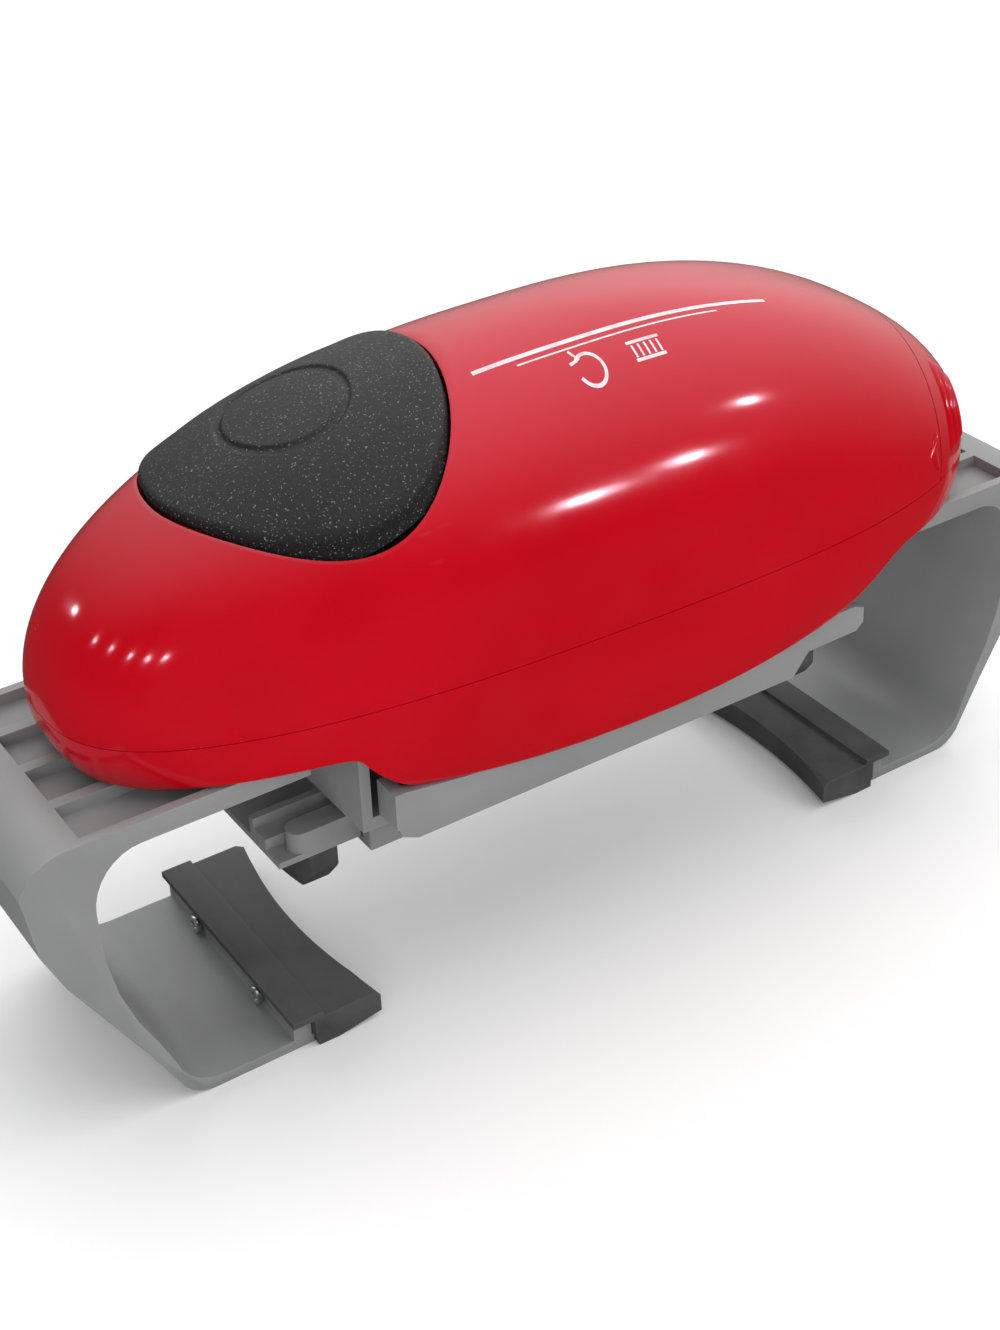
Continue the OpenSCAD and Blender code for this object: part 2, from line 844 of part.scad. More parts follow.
module shaft_screw() {
    translate([0, 0, 26.2]) screw(3.6, 2, 1.2, 7);
}

module lid_pinion() {
    color(white_nylon)
    difference() {
        spur(lid_teeth, 1, lane_z, lane_h, 90);
        translate([0, 0, 30]) cylinder(r = shaft_r + run, h = 8);
    }
}

module press_plate() {
    color(dark_grey)
    difference() {
        union() {
            translate([0, 0, 25.5]) cylinder(r = press_r, h = 2.1);
            translate([0, 0, 27.5]) cylinder(r = 4.4, h = 3.3);
        }
        translate([0, 0, 24]) cylinder(r = shaft_r + run, h = 10);
        translate([0, 0, 24]) cylinder(r = 3.9, h = 4.25);
    }
}

module press_spring() {
    translate([0, 0, 27.65]) coil_spring(5.9, 0.4, 6.2, 4);
}

module jaw_shape() {
    color(mid_grey) {
        translate([-64, -jaw_y, 33]) cube([16, 2 * jaw_y, 1.2]);
        translate([-58.65, -jaw_y + 2.35, 34.2]) {
            cylinder(r = 2.35, h = rotor_top - 34.5);
            translate([0, -2.35, 0]) cube([10.65, 4.7, rotor_top - 34.5]);
        }
        translate([-64, jaw_y - 3, 34.2]) cube([16, 3, rotor_top - 34.5]);
        translate([-64, -8.5, 34.2]) cube([16, 1.6, rotor_top - 34.5]);
        translate([-64, -12.6, 34.2]) cube([16, 5.4, 2.2]);
        translate([0, -lid_teeth / 2, lane_z]) linear_extrude(lane_h)
            rack_outline(-50, 10.4, 1, 6.6);
    }
}

// Rubber tab under a lid jaw, bent to the round of a lid.
module lid_pad_shape() {
    face_r = 60;
    color(dark_grey)
    intersection() {
        translate([face_r - 53.3, 0, 23])
            difference() {
                cylinder(r = face_r + 5.5, h = 10, $fn = 120);
                translate([0, 0, -1]) cylinder(r = face_r, h = 12, $fn = 120);
            }
        translate([-70, 0, 0]) rotate([90, 0, 90]) linear_extrude(30)
            polygon([[-15, 33], [-15, 27], [-12, 23], [12, 23], [15, 27], [15, 33]]);
    }
}

module lid_jaw_left() {
    jaw_shape();
}

module lid_jaw_right() {
    rotate([0, 0, 180]) jaw_shape();
}

module lid_pad_left() {
    lid_pad_shape();
}

module lid_pad_right() {
    rotate([0, 0, 180]) lid_pad_shape();
}

upper_shell();
lower_shell();
base_chassis();
base_bush();
housing_screws();
gearbox_floor();
gearbox_roof();
gearbox_posts();
gearbox_screws();
gear_axles();
arm_guide_front();
arm_guide_rear();
motor_can();
motor_end_cap();
motor_screws();
battery_tray();
battery_cell_front();
battery_cell_rear();
contact_plate();
contact_spring();
battery_door();
door_contact();
circuit_board();
board_parts();
button_well();
button_cap();
button_spring();
switch_body();
switch_lever();
motor_shaft();
motor_pinion();
compound_gear_1();
compound_gear_2();
compound_gear_3();
output_gear();
arm_pinion();
main_shaft();
shaft_circlip();
clutch_disc();
clutch_spring();
clutch_nut();
rotor_carriage();
pinion_washer();
shaft_screw();
press_plate();
press_spring();
lid_pinion();
lid_jaw_left();
lid_pad_left();
lid_jaw_right();
lid_pad_right();
jar_arm_left();
jar_pad_left();
pad_screws_left();
jar_arm_right();
jar_pad_right();
pad_screws_right();
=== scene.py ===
# %% [markdown]
# # Automatic jar opener
# The machine is an egg-shaped red housing with a round button, two sliding arms that hold a
# jar, and a rotor underneath whose two jaws turn the lid. The exact solids of every piece come
# from the CAD frame. Here they get their finishes, and the pieces with a flowing surface
# (shells, door, button) are built again from the same formulas with many more points, because
# a glossy skin shows every flat facet. Two springs are wound again so that they can shorten.

# %% Load the frame
import json
import math
import bpy
import bmesh
import numpy as np
from mathutils import Matrix, Vector


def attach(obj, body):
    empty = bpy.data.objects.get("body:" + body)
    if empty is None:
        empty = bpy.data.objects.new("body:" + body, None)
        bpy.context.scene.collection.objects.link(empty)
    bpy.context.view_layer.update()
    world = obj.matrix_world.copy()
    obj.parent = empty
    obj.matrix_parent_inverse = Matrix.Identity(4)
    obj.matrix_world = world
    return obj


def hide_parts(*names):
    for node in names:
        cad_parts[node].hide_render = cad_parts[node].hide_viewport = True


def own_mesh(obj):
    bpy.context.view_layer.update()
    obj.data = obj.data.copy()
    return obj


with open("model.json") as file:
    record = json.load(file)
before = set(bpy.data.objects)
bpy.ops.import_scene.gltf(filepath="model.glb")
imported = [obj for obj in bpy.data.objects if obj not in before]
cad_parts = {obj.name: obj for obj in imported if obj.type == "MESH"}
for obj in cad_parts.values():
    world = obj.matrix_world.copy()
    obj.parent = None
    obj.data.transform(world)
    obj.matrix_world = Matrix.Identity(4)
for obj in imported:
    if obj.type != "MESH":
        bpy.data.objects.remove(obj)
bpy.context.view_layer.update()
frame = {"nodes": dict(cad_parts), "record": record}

# %% [markdown]
# ## Camera
# The camera comes first, so that each later piece can be checked in a render at once. It is
# close to the machine and looks down from the front left, which makes the near arm look large.
# A camera can be turned by three angles, but a matrix of three directions is used here, because
# the small roll about its own axis is then one plain rotation of right and up. A lens shift
# frames the machine without turning the camera.

# %% Place the camera
MM = 0.001
AIM_HEIGHT, CAMERA_DISTANCE = 68, 388.32
azimuth, elevation, roll = (math.radians(d) for d in (33.246, 29.567, -1.848))
back = Vector((-math.sin(azimuth) * math.cos(elevation),
               -math.cos(azimuth) * math.cos(elevation), math.sin(elevation)))
level = Vector((math.cos(azimuth), -math.sin(azimuth), 0))
upright = back.cross(level)
right = math.cos(roll) * level + math.sin(roll) * upright
up = -math.sin(roll) * level + math.cos(roll) * upright
camera_data = bpy.data.cameras.new("camera")
camera = bpy.data.objects.new("camera", camera_data)
bpy.context.scene.collection.objects.link(camera)
stand = Vector((0, 0, AIM_HEIGHT * MM)) + back * CAMERA_DISTANCE * MM
camera.matrix_world = (Matrix.Translation(stand)
                       @ Matrix((right, up, back)).transposed().to_4x4())
camera_data.sensor_width = 36
camera_data.lens = 57.77
camera_data.shift_x, camera_data.shift_y = -0.0216, -0.0950
camera_data.clip_start, camera_data.clip_end = 0.01, 20
bpy.context.scene.camera = camera
print("camera at", [round(v, 4) for v in camera.location])

# %% [markdown]
# ## Shader maths
# A finish is easier to read as arithmetic than as a list of links. `Signal` wraps the output
# of a node and overloads + - and *, so that `1 - mask` adds a Math node by itself. Every
# other node comes from `Finish.node`, which sets the node's own settings first and then its
# sockets. A constant is set on the shader's own socket, and never passes through a node.

# %% Signal
class Signal:
    """A value that runs through a finish. Arithmetic on it adds Math nodes."""

    def __init__(self, finish, socket):
        self.finish, self.socket = finish, socket

    def maths(self, operation, *values):
        return self.finish.node("ShaderNodeMath", {"operation": operation},
                                dict(enumerate(values)))

    def __add__(self, other):
        return self.maths("ADD", self, other)

    def __radd__(self, other):
        return self.maths("ADD", other, self)

    def __sub__(self, other):
        return self.maths("SUBTRACT", self, other)

    def __rsub__(self, other):
        return self.maths("SUBTRACT", other, self)

    def __mul__(self, other):
        return self.maths("MULTIPLY", self, other)

    def __rmul__(self, other):
        return self.maths("MULTIPLY", other, self)


# %% Finish
class Finish:
    """The node tree of one finish, with its Principled shader ready."""

    def __init__(self, name):
        self.material = bpy.data.materials.new(name)
        self.material.use_nodes = True
        self.tree = self.material.node_tree
        self.skin = self.tree.nodes["Principled BSDF"]

    def node(self, kind, settings=None, sockets=None, out=0):
        made = self.tree.nodes.new(kind)
        for key, value in (settings or {}).items():
            if key == "stops":
                ramp = made.color_ramp
                while len(ramp.elements) < len(value):
                    ramp.elements.new(0.5)
                for element, (place, colour) in zip(ramp.elements, value):
                    element.position, element.color = place, (*colour, 1)
            else:
                setattr(made, key, value)
        for key, value in (sockets or {}).items():
            self.plug(made.inputs[key], value)
        return Signal(self, made.outputs[out])

    def plug(self, socket, value):
        if isinstance(value, Signal):
            self.tree.links.new(value.socket, socket)
        elif hasattr(socket.default_value, "__len__") and len(value) == 3:
            socket.default_value = (*value, 1)[:len(socket.default_value)]
        else:
            socket.default_value = value

    def set(self, **values):
        for key, value in values.items():
            self.plug(self.skin.inputs[key.replace("_", " ")], value)
        return self

    def place(self, stretch=(1, 1, 1)):
        """Position on the piece in metres, stretched along each axis."""
        spot = self.node("ShaderNodeTexCoord", out=3)
        return self.node("ShaderNodeVectorMath", {"operation": "MULTIPLY"},
                         {0: spot, 1: stretch})

    def noise(self, scale, detail=3, rough=0.55, stretch=(1, 1, 1)):
        return self.node("ShaderNodeTexNoise", {}, {
            "Vector": self.place(stretch), "Scale": scale, "Detail": detail,
            "Roughness": rough})

    def band(self, value, low, high, to_low=0.0, to_high=1.0):
        """Maps low..high of a value smoothly to another range."""
        return self.node("ShaderNodeMapRange", {"interpolation_type": "SMOOTHSTEP"}, {
            0: value, 1: low, 2: high, 3: to_low, 4: to_high})

    def mix(self, factor, a, b):
        """Blends two colours by a value."""
        return self.node("ShaderNodeMix", {"data_type": "RGBA"},
                         {0: factor, 6: a, 7: b}, out=2)

    def bump(self, height, strength, distance):
        self.set(Normal=self.node("ShaderNodeBump", {}, {
            "Strength": strength, "Distance": distance, "Height": height}))

    def edges(self, radius):
        """About 1 on convex edges and 0 on flats, from a rounded copy of the normal."""
        soft = self.node("ShaderNodeBevel", {"samples": 4}, {"Radius": radius})
        true = self.node("ShaderNodeNewGeometry", out=1)
        dot = self.node("ShaderNodeVectorMath", {"operation": "DOT_PRODUCT"},
                        {0: soft, 1: true}, out=1)
        return self.band(1 - dot, 0.01, 0.16)


# %% Register of finishes
finishes = {}


def finish(slot):
    """Registers the finish that a function makes, under a material slot of the record."""
    def keep(make):
        finishes[slot] = make().material
        print("finish", slot, "has", len(finishes[slot].node_tree.nodes), "nodes")
        return make
    return keep


# %% [markdown]
# ## Glossy red housing
# The housing is ABS, moulded in a polished tool. Such a skin is never a perfect mirror: it has
# a very fine orange peel, hair scratches from kitchen use, and a colour that is slightly
# uneven where the plastic flowed. The peel is a shallow bump, and the scratches are noise that
# is stretched to threads and kept to a few places by a second noise.

# %% Red skin
@finish("gloss_red")
def red_skin():
    red = Finish("red_skin")
    flow = red.noise(18, 2)
    colour = red.mix(red.band(flow, 0.3, 0.7), (0.44, 0.0010, 0.0060), (0.50, 0.0016, 0.0100))
    thread = red.noise(900, 1, stretch=(0.12, 1, 1))
    patch = red.band(red.noise(40, 2), 0.56, 0.72)
    hair = red.band(thread, 0.66, 0.72) * patch
    smudge = red.band(red.noise(60, 4), 0.45, 0.75)
    red.set(Base_Color=colour, Roughness=0.10 + hair * 0.16 + smudge * 0.05,
            Specular_IOR_Level=0.55, Specular_Tint=(1.0, 0.74, 0.90))
    peel = red.noise(700, 1)
    red.bump(peel * 0.6 + hair * 0.4, 0.10, 0.00003)
    return red


# %% [markdown]
# ## Moulded grey plastics
# The arms, the base and the jaws are glass-filled nylon and ABS from an eroded tool, so they
# have a fine grain. One function makes all four greys. The base's grey is a lighter copy of
# light_grey, which is painted light where the housing shades the base. The grain is a small
# bump, the flow marks are a slow change of grey, and rubbed edges are a little lighter and
# smoother.

# %% Grained plastics
def grained(name, light, dark, grain, depth, roughness, rub=0.25):
    grey = Finish(name)
    flow = grey.band(grey.noise(25, 3), 0.3, 0.7)
    speck = grey.noise(grain, 2, 0.7)
    edge = grey.edges(0.0006) * grey.band(grey.noise(160, 3), 0.35, 0.65)
    base = grey.mix(flow * 0.7 + speck * 0.3, dark, light)
    worn = grey.mix(edge * rub, base, tuple(min(1, v * 1.7 + 0.02) for v in light))
    grey.set(Base_Color=worn, Roughness=roughness + speck * 0.12 - edge * 0.1)
    grey.bump(speck, 0.35, depth)
    return grey


@finish("light_grey")
def light_grey():
    return grained("light_grey", (0.26, 0.262, 0.265), (0.21, 0.212, 0.215), 2600, 0.00004,
                   0.36)


# The base is the same plastic as the arms. This lighter copy of light_grey is painted light for
# the base's shaded place under the housing.
@finish("base_grey_painted_light")
def base_grey_painted_light():
    return grained("base_grey_painted_light", (0.28, 0.282, 0.284), (0.23, 0.232, 0.234), 2600, 0.00004,
                   0.38)


@finish("mid_grey")
def mid_grey():
    return grained("mid_grey", (0.25, 0.251, 0.254), (0.20, 0.201, 0.203), 2600, 0.00004, 0.38)


@finish("black_plastic")
def black_plastic():
    return grained("black_plastic", (0.030, 0.030, 0.032), (0.020, 0.020, 0.021), 2400,
                   0.00004, 0.42, 0.15)


# %% [markdown]
# ## Button skin
# A thumb presses the button with wet hands, so its tool is spark-eroded much deeper than the
# greys, into a leather-like grain. Small points of it are glossier, and they are also painted
# lighter in the base colour as painted glints. Voronoi cells give that pebbled look better than
# plain noise, and a finer noise breaks up the cells.

# %% Button grain
@finish("dark_grain")
def dark_grain():
    dark = Finish("dark_grain")
    cell = dark.node("ShaderNodeTexVoronoi", {"feature": "SMOOTH_F1"}, {
        "Vector": dark.place(), "Scale": 1150, "Smoothness": 0.6})
    fine = dark.noise(3200, 2, 0.7)
    slow = dark.band(dark.noise(30, 2), 0.3, 0.7)
    gloss_and_painted_glint = dark.band(dark.noise(2700, 1, 0.5), 0.66, 0.72)
    colour = dark.mix(slow * 0.6 + fine * 0.4, (0.007, 0.007, 0.0075), (0.014, 0.014, 0.0145))
    # The glint points are painted light grey in the base colour, which is a painted glint.
    # Their lower roughness is real gloss.
    dark.set(Base_Color=dark.mix(gloss_and_painted_glint, colour, (0.16, 0.16, 0.16)),
             Roughness=0.46 + fine * 0.16 - gloss_and_painted_glint * 0.3, Specular_IOR_Level=0.34)
    dark.bump(cell * 0.8 + fine * 0.3, 0.6, 0.00012)
    return dark


# %% [markdown]
# ## Rubber, nylon and metals
# The grip pads are soft rubber with a dull bloom. The gears are milky nylon. The metals are
# zinc-plated screws, drawn spring wire and turned brass: all have a direction, so their noise
# is stretched along one axis.

# %% Rubber and nylon
@finish("dark_rubber")
def dark_rubber():
    rubber = Finish("dark_rubber")
    bloom = rubber.band(rubber.noise(70, 4), 0.35, 0.7)
    fine = rubber.noise(2200, 3, 0.7)
    edge = rubber.edges(0.0007)
    colour = rubber.mix(bloom, (0.052, 0.052, 0.054), (0.085, 0.085, 0.087))
    rubbed = rubber.mix(edge * 0.35, colour, (0.13, 0.13, 0.13))
    rubber.set(Base_Color=rubbed, Roughness=0.58 + bloom * 0.14, Specular_IOR_Level=0.35)
    rubber.bump(fine, 0.4, 0.00006)
    return rubber


@finish("white_nylon")
def white_nylon():
    nylon = Finish("white_nylon")
    milk = nylon.band(nylon.noise(90, 3), 0.3, 0.7)
    fine = nylon.noise(1800, 2)
    colour = nylon.mix(milk, (0.70, 0.69, 0.63), (0.80, 0.79, 0.74))
    nylon.set(Base_Color=colour, Roughness=0.34 + fine * 0.12, Subsurface_Weight=0.15,
              Subsurface_Radius=(0.002, 0.002, 0.0015))
    nylon.bump(fine, 0.2, 0.00003)
    return nylon


# %% Metals
def metal(name, light, dark, roughness, stretch):
    sheen = Finish(name)
    line = sheen.noise(700, 2, 0.7, stretch)
    spot = sheen.band(sheen.noise(220, 3), 0.45, 0.75)
    colour = sheen.mix(line * 0.6 + spot * 0.4, dark, light)
    sheen.set(Base_Color=colour, Metallic=1.0, Roughness=roughness + line * 0.12 + spot * 0.08)
    sheen.bump(line, 0.15, 0.00003)
    return sheen


@finish("steel")
def steel():
    return metal("steel", (0.68, 0.69, 0.71), (0.52, 0.53, 0.55), 0.22, (1, 1, 0.08))


@finish("spring_steel")
def spring_steel():
    return metal("spring_steel", (0.56, 0.57, 0.60), (0.36, 0.37, 0.39), 0.26, (0.1, 0.1, 1))


@finish("brass")
def brass():
    return metal("brass", (0.83, 0.62, 0.27), (0.66, 0.46, 0.17), 0.20, (1, 1, 0.1))


# %% [markdown]
# ## Cells and circuit board
# The cells wear a printed film with a dark band at one end, which is a ramp along the cell.
# The board is lacquered green with faint copper tracks under the lacquer, from a brick
# pattern.

# %% Cell film and board
@finish("cell_jacket")
def cell_jacket():
    film = Finish("cell_jacket")
    along = film.node("ShaderNodeSeparateXYZ", {}, {0: film.place()})
    band = film.band(along, 0.0680, 0.0684)
    scuff = film.band(film.noise(300, 3), 0.4, 0.7)
    colour = film.mix(band, (0.020, 0.020, 0.022), (0.62, 0.36, 0.06))
    film.set(Base_Color=film.mix(scuff * 0.15, colour, (0.7, 0.66, 0.55)),
             Roughness=0.22 + scuff * 0.2, Metallic=band * 0.5)
    film.bump(film.noise(900, 2), 0.1, 0.00003)
    return film


@finish("board")
def board():
    lacquer = Finish("board")
    tracks = lacquer.node("ShaderNodeTexBrick", {}, {
        "Vector": lacquer.place(), "Scale": 260, "Color1": (0, 0, 0), "Color2": (0, 0, 0),
        "Mortar": (1, 1, 1), "Mortar Size": 0.06}, out=1)
    speck = lacquer.noise(500, 2)
    colour = lacquer.mix(tracks * 0.6, (0.012, 0.09, 0.04), (0.05, 0.22, 0.10))
    lacquer.set(Base_Color=lacquer.mix(speck * 0.15, colour, (0.01, 0.05, 0.02)),
                Roughness=0.22 + speck * 0.1, Coat_Weight=0.4)
    lacquer.bump(tracks, 0.3, 0.00004)
    return lacquer


# %% [markdown]
# ## Edges of the CAD pieces
# A CAD solid has knife edges, and no moulded or machined piece does. A Bevel modifier rounds
# them. It needs clean outlines, so a Weld joins the split vertices first and a planar Decimate
# merges the triangles of each flat face. Rounding could be faked in the shader, but a modifier
# gives real edges. The CAD mesh itself isn't touched, and coils of wire are left unrounded,
# because a Bevel would crease them.

# %% Dress the CAD pieces
slot_of = {row["node"]: row["material_slot"] for row in frame["record"]["subparts"]}
wire_pieces = ("button_spring", "clutch_spring", "press_spring", "contact_spring",
               "door_contact")
CREASE = math.radians(32)


def soften(piece, width):
    """Rounds the edges by a width in millimetres, or only shades them if it is 0."""
    weld = piece.modifiers.new("weld", "WELD")
    weld.merge_threshold = 0.000004
    if width:
        flat = piece.modifiers.new("flat_faces", "DECIMATE")
        flat.decimate_type, flat.angle_limit = "DISSOLVE", math.radians(0.8)
        edge = piece.modifiers.new("rounded_edges", "BEVEL")
        edge.width, edge.segments = width * MM, 2
        edge.limit_method, edge.angle_limit = "ANGLE", CREASE
        edge.harden_normals = True
        edge.use_clamp_overlap = True
    piece.data.shade_smooth()
    if not width:
        piece.data.set_sharp_from_angle(angle=CREASE)


edge_widths = {"jar_arm_left": 0.55, "jar_arm_right": 0.55, "base_chassis": 0.35,
               "jar_pad_left": 0.5, "jar_pad_right": 0.5, "lid_jaw_left": 0.25,
               "lid_jaw_right": 0.25, "lid_pad_left": 0.6, "lid_pad_right": 0.6,
               "rotor_carriage": 0.3, "press_plate": 0.5}
for name, piece in frame["nodes"].items():
    piece.data.materials.clear()
    # The base gets the lighter grey, which is painted light where the housing shades it.
    piece.data.materials.append(finishes["base_grey_painted_light" if name == "base_chassis"
                                         else slot_of[name]])
    soften(piece, 0 if name in wire_pieces else edge_widths.get(name, 0.12))
print("dressed", len(frame["nodes"]), "CAD pieces")

# %% [markdown]
# ## The egg as a formula
# Seen from above, the housing's outline is a superellipse: fuller than an ellipse at its four
# shoulders. The upper half is that outline shrunk by a circle law as it rises, and the lower
# half is a fuller bowl. With the surface as a formula, any piece of it can be laid out as a
# grid whose lines follow that piece's own edges, which shades better than cutting holes.

# %% Dome and bowl
HALF_X, HALF_Y, RISE, POWER, EGG, SEAM_Z = 95.0, 35.5, 46.0, 2.7, 0.07, 68.0
BOWL_LONG, BOWL_WIDE, BOWL_POWER = 28.0, 45.0, 2.4
WALL = 2.4


def signed_power(v, e):
    """A power that keeps the sign of its value."""
    return np.sign(v) * np.abs(v) ** e


def rim(t, grow=0.0):
    """Point of the outline at angle t."""
    c = signed_power(np.cos(t), 2 / POWER)
    s = signed_power(np.sin(t), 2 / POWER)
    return (HALF_X + grow) * c, (HALF_Y + grow) * s * (1 + EGG * c)


def dome_ratio(x, y, grow=0.0):
    """1 on the outline and 0 under the top, on the dome's plan."""
    a, b = HALF_X + grow, HALF_Y + grow
    r = (np.abs(x / a) ** POWER + np.abs(y / b) ** POWER) ** (1 / POWER)
    for _ in range(6):
        c = x / (a * np.maximum(r, 1e-6))
        r = (np.abs(x / a) ** POWER + np.abs(y / (b * (1 + EGG * c))) ** POWER) ** (1 / POWER)
    return r


def dome_z(x, y, grow=0.0):
    """Height of the dome over a point of its plan."""
    r = np.minimum(dome_ratio(x, y, grow), 1.0)
    return SEAM_Z + (RISE + grow) * np.sqrt(1 - r * r)


def dome_normal(x, y, z):
    """Outward direction of the dome, from the slope of its level over a small step h."""
    h = 0.02

    def level_of(px, py, pz):
        return dome_ratio(px, py) ** 2 + ((pz - SEAM_Z) / RISE) ** 2

    g = np.stack([level_of(x + h, y, z) - level_of(x - h, y, z),
                  level_of(x, y + h, z) - level_of(x, y - h, z),
                  level_of(x, y, z + h) - level_of(x, y, z - h)], -1)
    return g / np.linalg.norm(g, axis=-1, keepdims=True)


def bowl_point(t, depth):
    """Point of the lower shell at outline angle t, at a depth below the seam."""
    x, y = rim(t)
    return (x * (1 - (depth / BOWL_LONG) ** BOWL_POWER) ** (1 / BOWL_POWER),
            y * (1 - (depth / BOWL_WIDE) ** BOWL_POWER) ** (1 / BOWL_POWER), SEAM_Z - depth)


print("top of the dome at", float(dome_z(np.array(0.0), np.array(0.0))), "mm")

# %% [markdown]
# ## Grids into meshes
# Each flowing piece is a list of closed rings, all with the same number of points. The rings
# run over the outer skin, round the edge and back over the inner skin, so the piece is a
# closed solid with a real wall. Rings that are set close together at an edge round it. A
# Solidify modifier could add the wall, but it can't give the rim its own shape.

# %% Rings to a piece
CREASE_ANGLE = math.radians(35)


def mesh_from_rings(name, rings, closed=True, capped=False):
    """Quads between neighbouring rings. Closed joins the last ring to the first."""
    count, rows = len(rings[0]), len(rings)
    faces = []
    for i in range(rows if closed else rows - 1):
        low, high = i * count, (i + 1) % rows * count
        for j in range(count):
            k = (j + 1) % count
            faces.append((low + j, low + k, high + k, high + j))
    if capped:
        faces.append(tuple(range(count))[::-1])
        faces.append(tuple(range((rows - 1) * count, rows * count)))
    mesh = bpy.data.meshes.new(name)
    mesh.from_pydata((np.concatenate(rings) * MM).tolist(), [], faces)
    return mesh


def finish_piece(name, mesh, slot, body, node):
    """Cleans a mesh, gives it its finish and lets it ride on a body."""
    work = bmesh.new()
    work.from_mesh(mesh)
    bmesh.ops.remove_doubles(work, verts=work.verts, dist=1e-7)
    bmesh.ops.recalc_face_normals(work, faces=work.faces)
    work.to_mesh(mesh)
    work.free()
    mesh.shade_smooth()
    mesh.set_sharp_from_angle(angle=CREASE_ANGLE)
    piece = bpy.data.objects.new(name, mesh)
    bpy.context.scene.collection.objects.link(piece)
    mesh.materials.append(finishes[slot])
    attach(piece, body)
    if node:
        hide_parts(node)
    print(name, "has", len(mesh.polygons), "faces")
    return piece


def piece_from_rings(name, rings, slot, body, node, closed=True, capped=False):
    return finish_piece(name, mesh_from_rings(name, rings, closed, capped), slot, body, node)


# %% [markdown]
# ## Button frame
# The button leans towards the end of the housing. Its own frame has its origin on the
# button's axis at the height of its rim. Points on the dome are found along lines parallel to
# the axis, by halving the interval until the line meets the surface.

# %% Lines along the button's axis
LEAN = math.radians(18)
BUTTON_X, BUTTON_R, BUTTON_SINK = -44.5, 25.8, 8.4
button_origin = np.array([BUTTON_X, 0, SEAM_Z + RISE * math.sqrt(1 - (BUTTON_X / HALF_X) ** 2)
                          - BUTTON_SINK])
across = np.array([math.cos(LEAN), 0, math.sin(LEAN)])
outward = np.array([-math.sin(LEAN), 0, math.cos(LEAN)])
sideways = np.array([0.0, 1.0, 0.0])


def on_dome(radius, angle, grow=0.0):
    """Points of the dome on lines at a radius and angle about the button's axis."""
    angle = np.asarray(angle, float)
    start = (button_origin + np.multiply.outer(radius * np.cos(angle), across)
             + np.multiply.outer(radius * np.sin(angle), sideways))
    low, high = np.full(angle.shape, -30.0), np.full(angle.shape, 25.0)
    for _ in range(44):
        middle = (low + high) / 2
        p = start + middle[..., None] * outward
        r = dome_ratio(p[..., 0], p[..., 1], grow)
        inside = r ** 2 + ((p[..., 2] - SEAM_Z) / (RISE + grow)) ** 2 < 1
        low, high = np.where(inside, middle, low), np.where(inside, high, middle)
    return start + low[..., None] * outward


print("button axis leans", math.degrees(LEAN), "degrees")

# %% [markdown]
# ## Upper shell and battery door
# The grid's inner ring is the round hole of the button, and its outer ring is the seam. Lines
# fan out from the hole to the seam. At the battery end the finished solid is cut by a plane
# into the shell and the door, which is how the real moulding is split, and the two cut faces
# stay a hair apart to show as a seam.

# %% Grid of the upper shell
COLUMNS, OUTER_ROWS, INNER_ROWS = 420, 84, 40
BUTTON_GAP, HOLE_ROUND = 0.45, 0.5
turn = np.linspace(0, 2 * np.pi, COLUMNS, endpoint=False)
HOLE_R = BUTTON_R + BUTTON_GAP


def seam_points(grow=0.0):
    """Outline points that lie in the grid's directions, seen from the button."""
    t = np.linspace(0, 2 * np.pi, 20001)
    x, y = rim(t, grow)
    seen = np.unwrap(np.arctan2(y, x - BUTTON_X))
    spot = np.interp(turn, seen, t)
    return np.stack(rim(spot, grow), -1)


def shell_rows(grow, rows, hole_radius):
    """Rings over the dome from the button's hole to the seam."""
    inner = on_dome(hole_radius, turn, grow)[:, :2]
    outer = seam_points(grow)
    rings = []
    for w in np.linspace(0, 1, rows):
        g = 0.25 * w + 0.75 * (1 - (1 - w) ** 2)
        plan = inner + (outer - inner) * g
        z = dome_z(plan[:, 0], plan[:, 1], grow)
        rings.append(np.column_stack([plan, z]))
    return rings


outer_rows = shell_rows(0, OUTER_ROWS, HOLE_R + HOLE_ROUND)
outer_rows = [r for r in outer_rows if r[:, 2].min() >= SEAM_Z - 1e-9]
inner_rows = shell_rows(-WALL, INNER_ROWS, HOLE_R + HOLE_ROUND)[::-1]
edge = on_dome(HOLE_R, turn)
rim_rows = [edge - 2.6 * outward, edge - 0.5 * outward,
            on_dome(HOLE_R + 0.15, turn) - 0.15 * outward]
upper_rings = rim_rows + outer_rows + inner_rows
print("upper shell grid:", len(upper_rings), "rings of", COLUMNS)

# %% Cut the grid into shell and door
DOOR_X, DOOR_GAP = 75.0, 0.25


def cut_piece(source, name, keep_high, plane_x, slot, body, node):
    """A copy of a closed solid, cut by a plane across X, with the cut closed."""
    work = bmesh.new()
    work.from_mesh(source)
    bmesh.ops.bisect_plane(work, geom=work.verts[:] + work.edges[:] + work.faces[:],
                           plane_co=(plane_x * MM, 0, 0), plane_no=(1, 0, 0), dist=1e-7,
                           clear_outer=not keep_high, clear_inner=keep_high)
    open_edges = [e for e in work.edges if e.is_boundary]
    bmesh.ops.holes_fill(work, edges=open_edges, sides=0)
    mesh = bpy.data.meshes.new(name)
    work.to_mesh(mesh)
    work.free()
    return finish_piece(name, mesh, slot, body, node)


whole = mesh_from_rings("upper_whole", upper_rings)
cut_piece(whole, "upper_skin", False, DOOR_X - DOOR_GAP, "gloss_red", "housing", "upper_shell")
cut_piece(whole, "door_skin", True, DOOR_X, "gloss_red", "door", "battery_door")

# %% [markdown]
# ## Grip ribs of the battery door
# Fingers push the door off, so it has upright ribs on both sides, and a small raised arrow
# head on the shell points at it. They could be joined to the skin with a Boolean, but the cut
# would upset the even grid and its shading. So each rib is its own low mound whose foot is sunk
# in the skin, and its cross-section is swept up the dome at one place along the housing.

